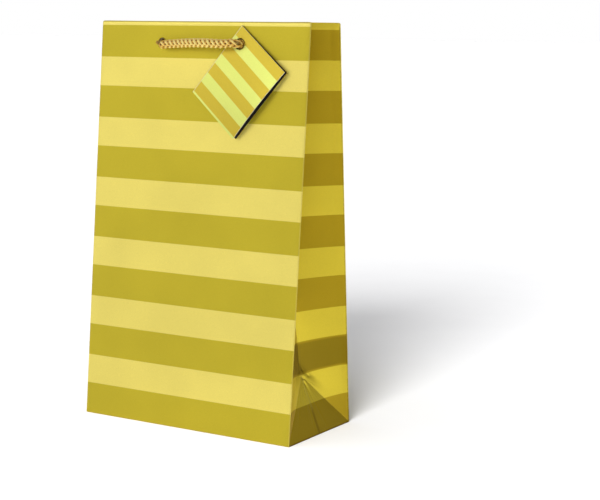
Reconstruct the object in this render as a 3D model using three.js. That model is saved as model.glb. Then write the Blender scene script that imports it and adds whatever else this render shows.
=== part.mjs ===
// Gift bag: a folded paper bag with gusseted sides, two rope handles and a folded gift tag.
// Millimetres, +Z up. The origin is the middle of the base on the surface the bag stands on,
// +X to the right of the front panel, -Y towards whoever faces the front.
import * as THREE from "three";

// ---- Driving dimensions ---------------------------------------------------------------------
const BAG_WIDTH = 140;
const BASE_DEPTH = 67;
const BAG_HEIGHT = 228;
const MOUTH_DEPTH = 32; // front to back at the rim, where the two walls lean towards each other
const PAPER = 0.4;
const GAP = 0.3; // between any two pieces that touch on the real bag

const HEM_DEPTH = 30; // the rim's paper turned down inside
const CARD_THICKNESS = 0.8; // reinforcing card inside the hem
const CARD_DEPTH = 28;
const HEM_END_CLEARANCE = 5.8; // the wall's hem stops short of the slanting gusset
const CARD_END_CLEARANCE = 4.5;
const SEAM_TAB_WIDTH = 12;

const CORD_DIAMETER = 5;
const HOLE_CLEARANCE = 0.3; // around the cord, in the wall
const HOLE_SPACING = 53.5;
const HOLE_DROP = 12.3; // from the rim down to the holes' centres
const CORD_STANDOFF = 3.3; // room under the cord's ends for the tag
const CORD_BEND = 3.2; // centreline radius where the cord turns into its hole
const TAIL_LENGTH = 92; // spare cord that hangs inside
const KNOT_WIDTH = 11;
const KNOT_THICKNESS = 9;
const KNOT_HEIGHT = 10;

const TAG_LENGTH = 48; // along its fold
const TAG_WIDTH = 39;
const TAG_CARD = 0.35;
const TAG_HOLE_FROM_END = 8;
const TAG_HOLE_FROM_FOLD = 6.2;
const TAG_HOLE_CLEARANCE = 0.8; // around the cord, so that the tag swings and opens
const TAG_REST_OPENING = 4; // degrees that the cover stands open

const BOARD_THICKNESS = 1;
const BOARD_END_CLEARANCE = 5; // at each end, under the inward-leaning base triangles
const BOARD_SIDE_CLEARANCE = 2.5;
const FLAP_OVERLAP = 14; // of the two long bottom flaps, glued
const SIDE_FLAP_LENGTH = 30;

// ---- Sizes that follow ----------------------------------------------------------------------
const wallRun = (BASE_DEPTH - MOUTH_DEPTH) / 2; // how far each wall leans in
const wallLength = Math.hypot(BAG_HEIGHT, wallRun);
const wallLean = Math.atan2(wallRun, BAG_HEIGHT);
const foldWidth = BASE_DEPTH / 2; // width of half a gusset, from wall edge to crease
const apexHeight = foldWidth / (1 + wallRun / BAG_HEIGHT);
const holeHeight = wallLength - HOLE_DROP;
const cordRadius = CORD_DIAMETER / 2;
const layer = PAPER + GAP;
const cardDepth = layer; // distances inward from a wall's outer face
const hemDepth = cardDepth + CARD_THICKNESS + GAP;
const innerFace = hemDepth + PAPER;

// ---- Materials ------------------------------------------------------------------------------
const paper = new THREE.MeshStandardMaterial({ color: 0xd6c04c, roughness: 0.36, metalness: 0.35 });
const lining = new THREE.MeshStandardMaterial({ color: 0xf3f1ea, roughness: 0.8, metalness: 0 });
const greyboard = new THREE.MeshStandardMaterial({ color: 0xb9b2a3, roughness: 0.9, metalness: 0 });
const rope = new THREE.MeshStandardMaterial({ color: 0xc79a2f, roughness: 0.6, metalness: 0.1 });
const tagCard = new THREE.MeshStandardMaterial({ color: 0xe6d860, roughness: 0.36, metalness: 0.35 });

const bag = new THREE.Group();

function piece(parent, name, geometry, material) {
  const mesh = new THREE.Mesh(geometry, material);
  mesh.name = name;
  parent.add(mesh);
  return mesh;
}

// ---- Flat pieces ----------------------------------------------------------------------------
function rectangle(left, bottom, right, top) {
  return new THREE.Shape([
    new THREE.Vector2(left, bottom),
    new THREE.Vector2(right, bottom),
    new THREE.Vector2(right, top),
    new THREE.Vector2(left, top),
  ]);
}

function punch(shape, x, y, radius) {
  shape.holes.push(new THREE.Path().absarc(x, y, radius, 0, 2 * Math.PI, true));
  return shape;
}

// A flat sheet cut to a shape, its shape's plane turned upright, inward from a wall's outer face.
function wallSheet(shape, depth, thickness) {
  const options = { depth: thickness, bevelEnabled: false, curveSegments: 12 };
  const geometry = new THREE.ExtrudeGeometry(shape, options);
  return geometry.rotateX(Math.PI / 2).translate(0, depth + thickness, 0);
}

// ---- Gusset sheets --------------------------------------------------------------------------
// Half depth of the bag at a height, and how far the gusset's centre crease is folded in there.
const halfDepth = (height) => BASE_DEPTH / 2 - (wallRun * height) / BAG_HEIGHT;
const creaseInset = (height) => Math.sqrt(Math.max(0, foldWidth ** 2 - halfDepth(height) ** 2));

// A point of the right gusset's front half: rise 0 to 1 from the base fold to the rim, and
// distance along the paper from the front wall's edge towards the centre crease.
function gussetPoint(rise, distance) {
  const edgeHeight = rise * BAG_HEIGHT;
  const creaseHeight = apexHeight + rise * (BAG_HEIGHT - apexHeight);
  const edge = new THREE.Vector3(BAG_WIDTH / 2, -halfDepth(edgeHeight), edgeHeight);
  const crease = new THREE.Vector3(BAG_WIDTH / 2 - creaseInset(creaseHeight), 0, creaseHeight);
  return edge.lerp(crease, distance / foldWidth);
}

// Unit normal of that half, pointing into the bag.
function gussetNormal(rise, distance) {
  const step = 0.01;
  const here = gussetPoint(rise, distance);
  const along = gussetPoint(rise, distance + 1).sub(here);
  const up = gussetPoint(rise + step, distance).sub(here);
  return up.cross(along).normalize();
}

// A closed sheet from a grid of points, thickened from `inward` to `inward + thickness`.
function gussetSheet(firstRise, lastRise, startOf, inward, thickness) {
  const rows = 14;
  const columns = 3;
  const positions = [];
  const faces = [];
  for (const depth of [inward, inward + thickness])
    for (let row = 0; row <= rows; row++) {
      const rise = firstRise + ((lastRise - firstRise) * row) / rows;
      const start = startOf(rise);
      for (let column = 0; column <= columns; column++) {
        const distance = start + ((foldWidth - layer - start) * column) / columns;
        const normal = gussetNormal(rise, distance);
        positions.push(...gussetPoint(rise, distance).addScaledVector(normal, depth));
      }
    }
  const sheet = (rows + 1) * (columns + 1);
  const at = (side, row, column) => side * sheet + row * (columns + 1) + column;
  const quad = (a, b, c, d) => faces.push(a, c, b, a, d, c);
  for (let row = 0; row < rows; row++)
    for (let column = 0; column < columns; column++) {
      quad(at(0, row, column), at(0, row + 1, column), at(0, row + 1, column + 1), at(0, row, column + 1));
      quad(at(1, row, column), at(1, row, column + 1), at(1, row + 1, column + 1), at(1, row + 1, column));
    }
  for (let row = 0; row < rows; row++) {
    quad(at(0, row, 0), at(1, row, 0), at(1, row + 1, 0), at(0, row + 1, 0));
    quad(at(0, row, columns), at(0, row + 1, columns), at(1, row + 1, columns), at(1, row, columns));
  }
  for (let column = 0; column < columns; column++) {
    quad(at(0, 0, column), at(0, 0, column + 1), at(1, 0, column + 1), at(1, 0, column));
    quad(at(0, rows, column), at(1, rows, column), at(1, rows, column + 1), at(0, rows, column + 1));
  }
  return new THREE.BufferGeometry()
    .setAttribute("position", new THREE.Float32BufferAttribute(positions, 3))
    .setIndex(faces);
}

// Where a gusset sheet starts, so that it clears a wall of this thickness.
function clearOfWall(inward, thickness, wallThickness) {
  return (rise) => {
    const depth = halfDepth(rise * BAG_HEIGHT);
    const slant = creaseInset(rise * BAG_HEIGHT) / foldWidth;
    return ((wallThickness + GAP + (inward + thickness) * slant) * foldWidth) / depth;
  };
}

const QUARTERS = [
  { side: "right", wall: "front", x: 1, y: 1 },
  { side: "right", wall: "back", x: 1, y: -1 },
  { side: "left", wall: "front", x: -1, y: 1 },
  { side: "left", wall: "back", x: -1, y: -1 },
];

function addGussets() {
  const cornerRise = 0.006; // clear of the bottom flaps
  const hemRise = 1 - HEM_DEPTH / BAG_HEIGHT;
  for (const { side, wall, x, y } of QUARTERS) {
    const half = gussetSheet(cornerRise, 1, clearOfWall(0, PAPER, PAPER), 0, PAPER);
    piece(bag, `${side}_gusset_${wall}_half`, half, paper).scale.set(x, y, 1);
    const hemStart = clearOfWall(layer, PAPER, innerFace);
    const hem = gussetSheet(hemRise, 1 - GAP / BAG_HEIGHT, hemStart, layer, PAPER);
    piece(bag, `${side}_gusset_${wall}_hem`, hem, paper).scale.set(x, y, 1);
  }
}

// The triangle that a gusset's paper folds into above the base, leaning in from the side edge.
function addBaseTriangle(side, x) {
  const lean = Math.asin(creaseInset(apexHeight) / foldWidth);
  const margin = 2 * GAP + PAPER / 2;
  const inradius = foldWidth * (Math.SQRT2 - 1);
  const shrink = 1 - margin / inradius;
  const centre = inradius; // height of the incentre above the base edge
  const corners = [
    [-foldWidth, 0],
    [foldWidth, 0],
    [0, foldWidth],
  ].map(([along, up]) => new THREE.Vector2(along * shrink, centre + (up - centre) * shrink));
  const options = { depth: PAPER, bevelEnabled: false };
  const geometry = new THREE.ExtrudeGeometry(new THREE.Shape(corners), options);
  geometry.translate(0, 0, -PAPER).rotateX(Math.PI / 2).rotateZ(Math.PI / 2).rotateY(-lean);
  geometry.translate(BAG_WIDTH / 2, 0, 0);
  piece(bag, `${side}_base_triangle`, geometry, paper).scale.set(x, 1, 1);
}

// ---- Bottom ---------------------------------------------------------------------------------
function addBottom() {
  const halfWidth = BASE_DEPTH / 2 - GAP;
  const overlap = FLAP_OVERLAP / 2;
  const acrossBag = (name, halfLength, points) => {
    const shape = new THREE.Shape(points.map(([y, z]) => new THREE.Vector2(y, z)));
    const geometry = new THREE.ExtrudeGeometry(shape, { depth: 2 * halfLength, bevelEnabled: false });
    geometry.rotateX(Math.PI / 2).rotateZ(Math.PI / 2).translate(-halfLength, 0, 0);
    piece(bag, name, geometry, paper);
  };
  const flat = [[-halfWidth, 0], [overlap, 0], [overlap, PAPER], [-halfWidth, PAPER]];
  acrossBag("bottom_flap_front", BAG_WIDTH / 2 - GAP, flat);
  const step = overlap + GAP;
  const tongue = [[-overlap, layer], [-overlap, layer + PAPER], [step + PAPER, layer + PAPER], [step + PAPER, PAPER]];
  const joggled = [[halfWidth, 0], [step, 0], [step, layer], ...tongue, [halfWidth, PAPER]].reverse();
  acrossBag("bottom_flap_back", BAG_WIDTH / 2 - 2 * layer, joggled); // clear of the base triangles

  const sideFlapHeight = 2 * layer;
  for (const [side, x] of [["right", 1], ["left", -1]]) {
    const outer = BAG_WIDTH / 2 - 4 * PAPER;
    const inner = outer - SIDE_FLAP_LENGTH;
    const mitre = SIDE_FLAP_LENGTH / 2;
    const y = halfWidth - 2 * PAPER;
    const outline = [[outer, -y], [outer, y], [inner + mitre, y], [inner, y - mitre], [inner, mitre - y], [inner + mitre, -y]];
    const shape = new THREE.Shape(outline.map(([a, b]) => new THREE.Vector2(a, b)));
    const geometry = new THREE.ExtrudeGeometry(shape, { depth: PAPER, bevelEnabled: false });
    geometry.translate(0, 0, sideFlapHeight);
    piece(bag, `bottom_flap_${side}`, geometry, paper).scale.set(x, 1, 1);
    addBaseTriangle(side, x);
  }
  const length = BAG_WIDTH - 2 * BOARD_END_CLEARANCE;
  const width = BASE_DEPTH - 2 * BOARD_SIDE_CLEARANCE;
  const board = new THREE.BoxGeometry(length, width, BOARD_THICKNESS);
  board.translate(0, 0, 3 * layer + BOARD_THICKNESS / 2);
  piece(bag, "base_board", board, greyboard);
}

// ---- Walls ----------------------------------------------------------------------------------
// A group in a wall's own frame: x across, z up along the panel, y inward from its outer face.
function wallGroup(parent) {
  const group = new THREE.Group();
  group.position.set(0, -BASE_DEPTH / 2, 0);
  group.rotation.set(-wallLean, 0, 0);
  parent.add(group);
  return group;
}

function addWall(parent, wall) {
  const group = wallGroup(parent);
  const half = BAG_WIDTH / 2;
  const punched = (shape) => {
    for (const side of [-1, 1]) punch(shape, (side * HOLE_SPACING) / 2, holeHeight, cordRadius + HOLE_CLEARANCE);
    return shape;
  };
  const panel = punched(rectangle(-half, layer, half, wallLength));
  piece(group, `${wall}_panel`, wallSheet(panel, 0, PAPER), paper);
  const card = half - CARD_END_CLEARANCE;
  const cardTop = wallLength - layer;
  const cardShape = punched(rectangle(-card, cardTop - CARD_DEPTH, card, cardTop));
  piece(group, `${wall}_rim_card`, wallSheet(cardShape, cardDepth, CARD_THICKNESS), greyboard);
  const hem = half - HEM_END_CLEARANCE;
  const hemShape = punched(rectangle(-hem, wallLength - HEM_DEPTH, hem, wallLength - GAP));
  piece(group, `${wall}_rim_hem`, wallSheet(hemShape, hemDepth, PAPER), paper);
  return group;
}

function addSeamTab(backWall) {
  const edge = BAG_WIDTH / 2 - 3;
  const tab = rectangle(edge - SEAM_TAB_WIDTH, 4 * layer, edge, wallLength - HEM_DEPTH - 2);
  piece(backWall, "side_seam_tab", wallSheet(tab, layer, PAPER), lining);
}

// ---- Rope handles ---------------------------------------------------------------------------
// A wall point: across, outward from its outer face, and up from the holes' height.
function wallPoint(across, outward, rise) {
  const up = holeHeight + rise;
  return new THREE.Vector3(
    across,
    -BASE_DEPTH / 2 - outward * Math.cos(wallLean) + up * Math.sin(wallLean),
    up * Math.cos(wallLean) + outward * Math.sin(wallLean),
  );
}

function cordTube(points, steps) {
  const section = new THREE.Shape().absarc(0, 0, cordRadius, 0, 2 * Math.PI, false);
  const path = new THREE.CatmullRomCurve3(points);
  return new THREE.ExtrudeGeometry(section, { steps, curveSegments: 5, extrudePath: path });
}

// The cord's route outside, from hole to hole. It bows a little off the wall between them.
function handleRoute() {
  const hole = HOLE_SPACING / 2;
  const bend = CORD_BEND;
  const end = [
    [hole, 0, 0],
    [hole, 0.2 * bend, 0],
    [hole - 0.134 * bend, 0.5 * bend, 0],
    [hole - 0.5 * bend, 0.866 * bend, 0],
    [hole - bend, bend, 0.1],
    [hole - 9, bend + 0.3, 0.4],
    [hole - 18, bend + 0.5, 0.7],
  ];
  const middle = [[0, bend + 0.6, 0.8]];
  const otherEnd = end.map(([x, out, rise]) => [-x, out, rise]).reverse();
  return [...end, ...middle, ...otherEnd].map(([x, out, rise]) => wallPoint(x, CORD_STANDOFF + out, rise));
}

function addHandle(parent, wall) {
  piece(parent, `${wall}_handle_cord`, cordTube(handleRoute(), 44), rope);
  for (const [side, sign] of [["left", -1], ["right", 1]]) {
    const x = (sign * HOLE_SPACING) / 2;
    const bend = CORD_BEND;
    const passage = [
      [x, CORD_STANDOFF - GAP, 0],
      [x, 0, 0],
      [x, -innerFace, 0],
      [x, -innerFace - 0.5 * bend, -0.134 * bend],
      [x, -innerFace - 0.866 * bend, -0.5 * bend],
      [x, -innerFace - bend, -0.9 * bend],
      [x, -innerFace - bend, -1.1 * bend],
    ].map((p) => wallPoint(...p));
    piece(parent, `${wall}_cord_passage_${side}`, cordTube(passage, 12), rope);
    const top = wallPoint(x, -innerFace - bend, -1.1 * bend);
    top.z -= 2 * GAP;
    const tail = [0, 0.25, 0.5, 0.75, 1].map((share) => top.clone().setZ(top.z - share * TAIL_LENGTH));
    piece(parent, `${wall}_cord_tail_${side}`, cordTube(tail, 20), rope);
    const knot = new THREE.SphereGeometry(0.5, 14, 10).scale(KNOT_WIDTH, KNOT_THICKNESS, KNOT_HEIGHT);
    knot.translate(top.x, top.y, top.z - TAIL_LENGTH - GAP - KNOT_HEIGHT / 2);
    piece(parent, `${wall}_stopper_knot_${side}`, knot, rope);
  }
}

// ---- Gift tag -------------------------------------------------------------------------------
// A folded card hung by the cord at the right hole: x along its fold, away from the hole's end,
// y from the fold towards its open edge, z outward. It hangs with its middle under the hole.
function addTag(frontWall) {
  const endX = TAG_LENGTH - TAG_HOLE_FROM_END;
  const openY = TAG_WIDTH - TAG_HOLE_FROM_FOLD;
  const middleX = endX - TAG_LENGTH / 2;
  const middleY = openY - TAG_WIDTH / 2;
  const foldAngle = -Math.PI / 2 - Math.atan2(middleY, middleX);

  const tag = new THREE.Group();
  tag.position.set(HOLE_SPACING / 2, 0, holeHeight);
  const along = new THREE.Vector3(Math.cos(foldAngle), 0, Math.sin(foldAngle));
  const outward = new THREE.Vector3(0, -1, 0);
  const across = outward.clone().cross(along);
  tag.quaternion.setFromRotationMatrix(new THREE.Matrix4().makeBasis(along, across, outward));
  frontWall.add(tag);

  const leaf = () => {
    const shape = rectangle(-TAG_HOLE_FROM_END, 0, endX, TAG_WIDTH);
    punch(shape, 0, TAG_HOLE_FROM_FOLD, cordRadius + TAG_HOLE_CLEARANCE);
    return new THREE.ExtrudeGeometry(shape, { depth: TAG_CARD, bevelEnabled: false, curveSegments: 12 });
  };
  const back = piece(tag, "tag_back_leaf", leaf(), tagCard);
  back.position.set(0, -TAG_HOLE_FROM_FOLD, GAP);
  const cover = piece(tag, "tag_cover_leaf", leaf(), tagCard);
  cover.position.set(0, -TAG_HOLE_FROM_FOLD, GAP + TAG_CARD + GAP);
  cover.rotation.x = THREE.MathUtils.degToRad(TAG_REST_OPENING);
}

// ---- Assembly -------------------------------------------------------------------------------
addGussets();
addBottom();

const frontWall = addWall(bag, "front");
addHandle(bag, "front");
addTag(frontWall);

const backHalf = new THREE.Group(); // the same wall and handle, turned to face the other way
backHalf.rotation.z = Math.PI;
bag.add(backHalf);
const backWall = addWall(backHalf, "back");
addSeamTab(backWall);
addHandle(backHalf, "back");

export default bag;
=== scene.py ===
"""Gift bag of striped gold paper with gusseted sides, braided rope handles and a folded tag."""

import logging
import math
from dataclasses import dataclass, field
from enum import Enum
from typing import Callable, Optional, Sequence

import bmesh
import bpy
import numpy as np
from mathutils import Matrix, Vector


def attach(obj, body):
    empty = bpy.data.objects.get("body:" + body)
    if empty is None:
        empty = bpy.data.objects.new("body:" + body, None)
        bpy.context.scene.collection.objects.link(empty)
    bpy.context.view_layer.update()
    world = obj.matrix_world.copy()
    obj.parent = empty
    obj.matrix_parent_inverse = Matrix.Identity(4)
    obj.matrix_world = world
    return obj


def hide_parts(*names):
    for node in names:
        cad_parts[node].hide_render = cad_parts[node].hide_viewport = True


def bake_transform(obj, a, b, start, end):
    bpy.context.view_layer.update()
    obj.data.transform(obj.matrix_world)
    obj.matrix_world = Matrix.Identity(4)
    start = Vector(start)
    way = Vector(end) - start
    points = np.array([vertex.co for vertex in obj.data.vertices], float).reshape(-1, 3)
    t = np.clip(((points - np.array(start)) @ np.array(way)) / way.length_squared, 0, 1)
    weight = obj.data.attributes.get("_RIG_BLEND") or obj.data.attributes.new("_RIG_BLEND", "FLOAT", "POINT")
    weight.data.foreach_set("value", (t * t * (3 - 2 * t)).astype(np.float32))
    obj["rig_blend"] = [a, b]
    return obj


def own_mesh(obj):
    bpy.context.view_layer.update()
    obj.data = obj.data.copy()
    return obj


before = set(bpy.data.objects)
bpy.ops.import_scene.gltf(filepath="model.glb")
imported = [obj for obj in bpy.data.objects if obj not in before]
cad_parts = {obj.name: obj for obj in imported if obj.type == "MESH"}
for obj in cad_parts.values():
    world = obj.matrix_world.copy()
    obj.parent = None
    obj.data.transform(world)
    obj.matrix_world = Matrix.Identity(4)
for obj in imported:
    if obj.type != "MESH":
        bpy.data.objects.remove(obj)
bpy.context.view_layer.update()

LOG = logging.getLogger("gift_bag")
MM = 0.001


# ---- Small tools ------------------------------------------------------------------------------


def linear(hex_colour: str) -> tuple[float, float, float, float]:
    """Turns an sRGB hex colour such as "c7b53a" into linear RGBA."""
    parts = [int(hex_colour[i:i + 2], 16) / 255 for i in (0, 2, 4)]
    flat = [c / 12.92 if c <= 0.04045 else ((c + 0.055) / 1.055) ** 2.4 for c in parts]
    return (flat[0], flat[1], flat[2], 1.0)


def smoothstep(value: np.ndarray) -> np.ndarray:
    """Eases 0 to 1, clipped outside."""
    clipped = np.clip(value, 0.0, 1.0)
    return clipped * clipped * (3 - 2 * clipped)


def add_node(tree: bpy.types.NodeTree, kind: str, inputs: Optional[dict] = None,
             **settings: object) -> bpy.types.Node:
    """Adds a node with its settings, values and links.

    Args:
        tree: The node tree to add to.
        kind: The node's type name.
        inputs: Values or output sockets by input name or index.
        **settings: The node's own properties.

    Returns:
        The new node.
    """
    made = tree.nodes.new(kind)
    for key, value in settings.items():
        setattr(made, key, value)
    for key, value in (inputs or {}).items():
        socket = made.inputs[key]
        if isinstance(value, bpy.types.NodeSocket):
            tree.links.new(value, socket)
        else:
            socket.default_value = value
    return made


def put_mesh(name: str, vertices: np.ndarray, faces: Sequence[Sequence[int]]) -> bpy.types.Object:
    """Makes a mesh object from millimetre vertices and faces, and links it to the scene."""
    mesh = bpy.data.meshes.new(name)
    mesh.from_pydata([tuple(v) for v in np.asarray(vertices) * MM], [], [tuple(f) for f in faces])
    made = bpy.data.objects.new(name, mesh)
    bpy.context.scene.collection.objects.link(made)
    return made


def face_outwards(piece: bpy.types.Object) -> None:
    """Turns a closed mesh's faces outwards."""
    work = bmesh.new()
    work.from_mesh(piece.data)
    bmesh.ops.recalc_face_normals(work, faces=work.faces)
    work.to_mesh(piece.data)
    work.free()


def smooth(piece: bpy.types.Object, sharp_degrees: float = 40) -> None:
    """Shades a mesh smooth, except over edges sharper than an angle."""
    piece.data.polygons.foreach_set("use_smooth", [True] * len(piece.data.polygons))
    piece.data.set_sharp_from_angle(angle=math.radians(sharp_degrees))


def applied(piece: bpy.types.Object) -> bpy.types.Object:
    """Bakes a piece's modifiers into its mesh and removes them."""
    graph = bpy.context.evaluated_depsgraph_get()
    mesh = bpy.data.meshes.new_from_object(piece.evaluated_get(graph), depsgraph=graph)
    piece.modifiers.clear()
    old, piece.data = piece.data, mesh
    bpy.data.meshes.remove(old)
    mesh.name = piece.name
    return piece


def dress_node(name: str, material: bpy.types.Material) -> None:
    """Gives a carried-over node its finish."""
    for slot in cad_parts[name].material_slots:
        slot.material = material


def settle(piece: bpy.types.Object, body: str, slot: str, *nodes: str) -> None:
    """Lets a finished piece ride on its body and stand for its nodes.

    Args:
        piece: The finished mesh object.
        body: The body that it moves with.
        slot: The record's material slot; not used.
        *nodes: The nodes that it stands for.
    """
    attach(piece, body)
    if nodes:
        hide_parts(*nodes)
    LOG.info("%s rides on %s, %d faces", piece.name, body, len(piece.data.polygons))


# ---- Finishes ---------------------------------------------------------------------------------


class Zone(Enum):
    """Where a printed paper lies on the bag, which sets its folds and its painted highlight and painted shade
    lines.
    """

    PANEL = "panel"
    GUSSET = "gusset"
    BOTTOM = "bottom"
    TAG = "tag"


def remap(tree: bpy.types.NodeTree, value: bpy.types.NodeSocket, low: float, high: float,
          start: float = 0.0, end: float = 1.0) -> bpy.types.NodeSocket:
    """Maps a value from low..high to start..end, smoothly and clipped."""
    made = add_node(tree, "ShaderNodeMapRange", {0: value, 1: low, 2: high, 3: start, 4: end},
                    interpolation_type="SMOOTHSTEP")
    return made.outputs[0]


def math_of(tree: bpy.types.NodeTree, operation: str, *values: object) -> bpy.types.NodeSocket:
    """The result of one Math node on its values or sockets."""
    return add_node(tree, "ShaderNodeMath", dict(enumerate(values)), operation=operation).outputs[0]


def tint(tree: bpy.types.NodeTree, amount: object, first: object, second: object,
         mode: str = "MIX") -> bpy.types.NodeSocket:
    """Mixes two colours by an amount."""
    made = add_node(tree, "ShaderNodeMix", {0: amount, 6: first, 7: second}, data_type="RGBA",
                    blend_type=mode)
    return made.outputs[2]


def new_material(name: str, **shader: object) -> tuple[bpy.types.Material, bpy.types.NodeTree, bpy.types.Node]:
    """A material with one Principled shader whose sockets hold the given values.

    Args:
        name: The real material's name.
        **shader: Socket values, with _ for a space in the socket's name.

    Returns:
        The material, its tree and its shader node.
    """
    material = bpy.data.materials.new(name)
    material.use_nodes = True
    tree = material.node_tree
    principled = tree.nodes["Principled BSDF"]
    for key, value in shader.items():
        principled.inputs[key.replace("_", " ")].default_value = value
    return material, tree, principled


def bump(tree: bpy.types.NodeTree, principled: bpy.types.Node, height: bpy.types.NodeSocket,
         depth_mm: float, strength: float) -> None:
    """Links a height to the shader's normal, with its real depth."""
    made = add_node(tree, "ShaderNodeBump", {"Height": height, "Strength": strength, "Distance": depth_mm * MM})
    tree.links.new(made.outputs["Normal"], principled.inputs["Normal"])


def noise(tree: bpy.types.NodeTree, vector: bpy.types.NodeSocket, size_mm: float,
          detail: float = 2.0) -> bpy.types.NodeSocket:
    """Noise whose lumps are about so many millimetres across."""
    made = add_node(tree, "ShaderNodeTexNoise", {"Vector": vector, "Scale": 1 / (size_mm * MM), "Detail": detail})
    return made.outputs[0]


@dataclass(frozen=True)
class PrintedPaper:
    """Coated paper with a satin metallic ink, in broad stripes: it gives a soft sheen and fine grain.

    The stripes follow the paper's own length, kept in the UV map "paper" in metres.
    """

    name: str
    zone: Zone
    dark: str
    light: str
    # Colour of the painted highlight along the folds, the rim and the creases.
    painted_highlight: str = "dccb62"
    # Colour of the painted shade at the hole rims, the base fold and the gusset's folds and crease.
    painted_shade: str = "6f5413"
    pitch: float = 34.7
    dark_width: float = 18.1
    first_light: float = 2.5
    rim_light: float = 2.5
    # How dark the painted shade band on the gusset gets.
    shade_band: float = 0.62
    length: float = 228.6706
    hole_x: float = 26.75
    hole_v: float = 216.3706
    half_depth: float = 33.5
    # Where the painted shade band lies along the gusset's paper.
    shade_band_at: float = 43.6
    roughness: float = 0.40
    metallic: float = 0.45

    def place(self, tree: bpy.types.NodeTree) -> tuple[bpy.types.NodeSocket, bpy.types.NodeSocket]:
        """The paper's across and along sockets, in millimetres."""
        if self.zone is Zone.BOTTOM:
            where = add_node(tree, "ShaderNodeTexCoord").outputs["Object"]
        else:
            where = add_node(tree, "ShaderNodeUVMap", uv_map="paper").outputs[0]
        parts = add_node(tree, "ShaderNodeSeparateXYZ", {0: where})
        across = math_of(tree, "MULTIPLY", parts.outputs[0], 1000.0)
        along = math_of(tree, "MULTIPLY", parts.outputs[1], 1000.0)
        if self.zone is Zone.BOTTOM:
            along = math_of(tree, "SUBTRACT", math_of(tree, "ABSOLUTE", along), self.half_depth)
        return across, along

    def stripe(self, tree: bpy.types.NodeTree, along: bpy.types.NodeSocket) -> bpy.types.NodeSocket:
        """1 on the dark stripes and 0 on the light ones, with a printed edge of 0.1 mm."""
        if self.zone is Zone.TAG:
            start = math_of(tree, "ADD", along, self.first_light)
        else:
            start = math_of(tree, "SUBTRACT", self.length - self.first_light, along)
        turn = math_of(tree, "FLOORED_MODULO", start, self.pitch)
        rising = remap(tree, turn, -0.05, 0.05)
        falling = remap(tree, turn, self.dark_width - 0.05, self.dark_width + 0.05, 1.0, 0.0)
        strip = self.length - self.rim_light
        below_rim = remap(tree, along, strip - 0.05, strip + 0.05, 1.0, 0.0)
        return math_of(tree, "MULTIPLY", math_of(tree, "MULTIPLY", rising, falling), below_rim)

    def near(self, tree: bpy.types.NodeTree, value: bpy.types.NodeSocket, centre: float,
             width: float) -> bpy.types.NodeSocket:
        """1 where a value lies on a line and 0 away from it."""
        gap = math_of(tree, "ABSOLUTE", math_of(tree, "SUBTRACT", value, centre))
        return remap(tree, gap, width * 0.3, width, 1.0, 0.0)

    def marks(self, tree: bpy.types.NodeTree, across: bpy.types.NodeSocket, along: bpy.types.NodeSocket,
              nicks: bpy.types.NodeSocket) -> tuple[bpy.types.NodeSocket, bpy.types.NodeSocket]:
        """How much painted highlight and how much painted shade the paper gets along its folds, creases, holes and
        base.
        """
        if self.zone is Zone.PANEL:
            # Painted highlight along the rounded side folds and the top rim fold.
            side = remap(tree, math_of(tree, "ABSOLUTE", across), 69.4, 69.85, 0.0, 0.6)
            rim = remap(tree, along, self.length - 1.3, self.length - 0.7)
            highlit = math_of(tree, "MAXIMUM", side, rim)
            # Painted shade: a dark ring round each hole, where the gap round the rope lies in shade.
            off = math_of(tree, "SUBTRACT", math_of(tree, "ABSOLUTE", across), self.hole_x)
            rise = math_of(tree, "SUBTRACT", along, self.hole_v)
            squares = math_of(tree, "ADD", math_of(tree, "MULTIPLY", off, off),
                              math_of(tree, "MULTIPLY", rise, rise))
            folded = remap(tree, math_of(tree, "SQRT", squares), 2.9, 3.4, 0.7, 0.0)
            # Painted shade along the base fold.
            foot = remap(tree, along, 0.1, 0.7, 0.55, 0.0)
            return highlit, math_of(tree, "MAXIMUM", folded, foot)
        if self.zone is Zone.GUSSET:
            # Painted shade: a dark line beside the vertical fold and a darker band at the centre crease.
            edge = math_of(tree, "MULTIPLY", remap(tree, across, 0.7, 1.25, 1.0, 0.0), nicks)
            crease = remap(tree, across, 31.6, 33.4, 0.0, 0.5)
            crease = math_of(tree, "MULTIPLY", crease, remap(tree, along, 12.0, 20.0, 1.0, 0.2))
            # Painted highlight lines along the centre crease and the diagonal crease.
            highlight_lines = math_of(tree, "MULTIPLY", self.near(tree, across, 33.0, 0.5), remap(tree, along, 10.0, 18.0))
            highlight_lines = math_of(tree, "MULTIPLY", highlight_lines, remap(tree, along, 33.0, 36.0, 1.0, 0.0))
            diagonal = self.near(tree, math_of(tree, "SUBTRACT", along, across), 0.0, 0.45)
            diagonal = math_of(tree, "MULTIPLY", diagonal, remap(tree, along, 12.0, 22.0, 0.25, 0.9))
            highlight_lines = math_of(tree, "MULTIPLY", math_of(tree, "MAXIMUM", highlight_lines, diagonal), nicks)
            # Painted shade along the base fold.
            foot = remap(tree, along, 0.3, 1.1, 1.0, 0.0)
            shade_lines = math_of(tree, "MAXIMUM", edge, math_of(tree, "MAXIMUM", crease, foot))
            return math_of(tree, "MULTIPLY", highlight_lines, 0.7), shade_lines
        if self.zone is Zone.TAG:
            # Painted highlight along the tag's fold.
            return remap(tree, across, 0.25, 0.7, 1.0, 0.0), math_of(tree, "MULTIPLY", nicks, 0.0)
        return math_of(tree, "MULTIPLY", nicks, 0.0), math_of(tree, "MULTIPLY", nicks, 0.0)

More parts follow.
